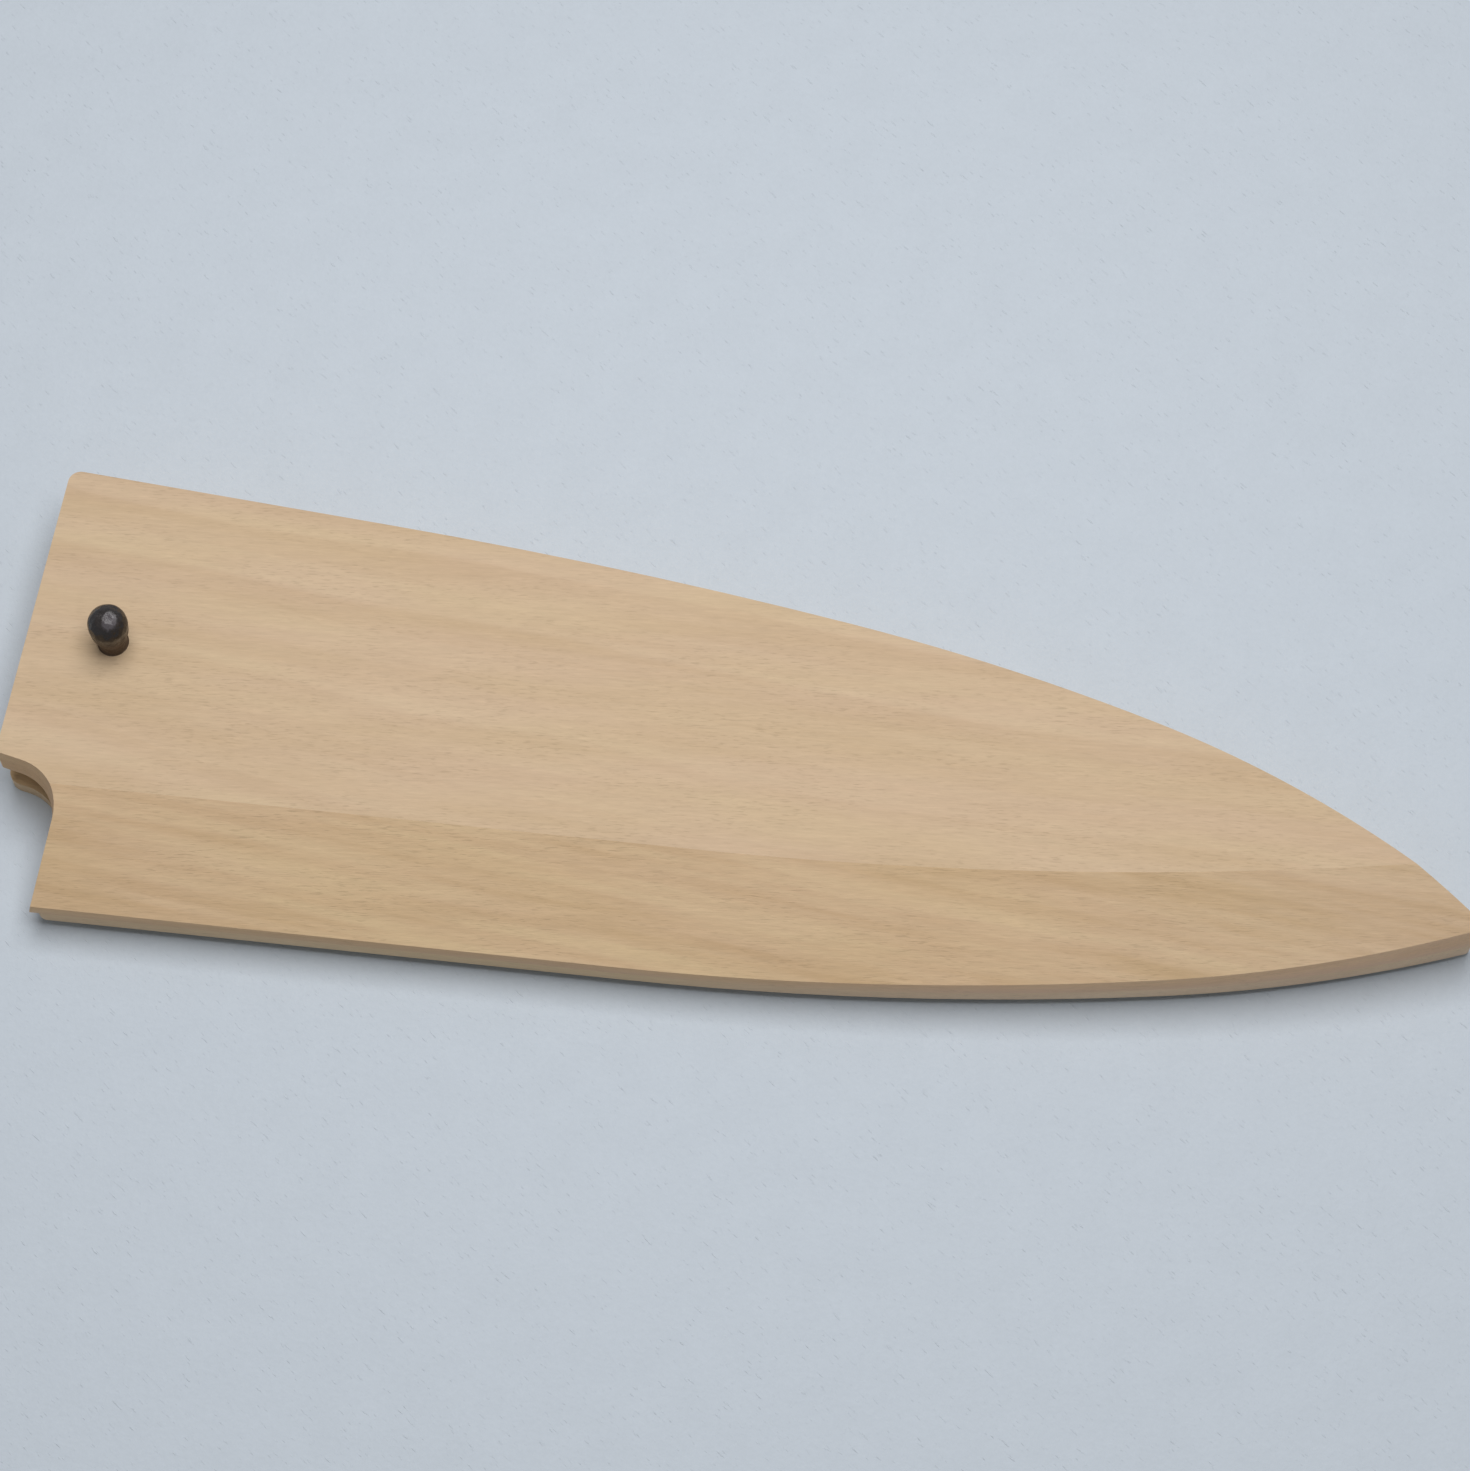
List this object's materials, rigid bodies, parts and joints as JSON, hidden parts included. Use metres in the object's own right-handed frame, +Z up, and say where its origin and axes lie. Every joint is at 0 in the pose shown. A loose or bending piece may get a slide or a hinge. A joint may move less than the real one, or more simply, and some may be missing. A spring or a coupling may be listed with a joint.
{
  "type": "knife blade guard",
  "caption": "Pale wooden sheath for a broad single-bevel kitchen knife: two hollowed boards glued face to face, bevelled along the edge side, with a dark round-headed retaining pin.",
  "frame": {"origin": "middle of the sheath's box, on its flat underside", "axes": "+X from the mouth to the tip along the straight part of the spine, +Y from the edge side to the spine side, +Z up out of the front board, the way the pin is pulled"},
  "size_m": [0.207, 0.0634, 0.0231],
  "materials": {
    "front_wood": "sanded, unvarnished",
    "back_wood": "sanded, unvarnished",
    "pin_wood": "turned and waxed"
  },
  "bodies": {
    "sheath": {"front_board": "front_wood", "back_board": "back_wood"},
    "pin": {"retaining_pin": "pin_wood"}
  },
  "joints": [
    {"name": "pin_pull", "type": "slide", "parent": "sheath", "child": "pin", "axis": [0, 0, 1], "range_m": [0, 0.014]}
  ]
}
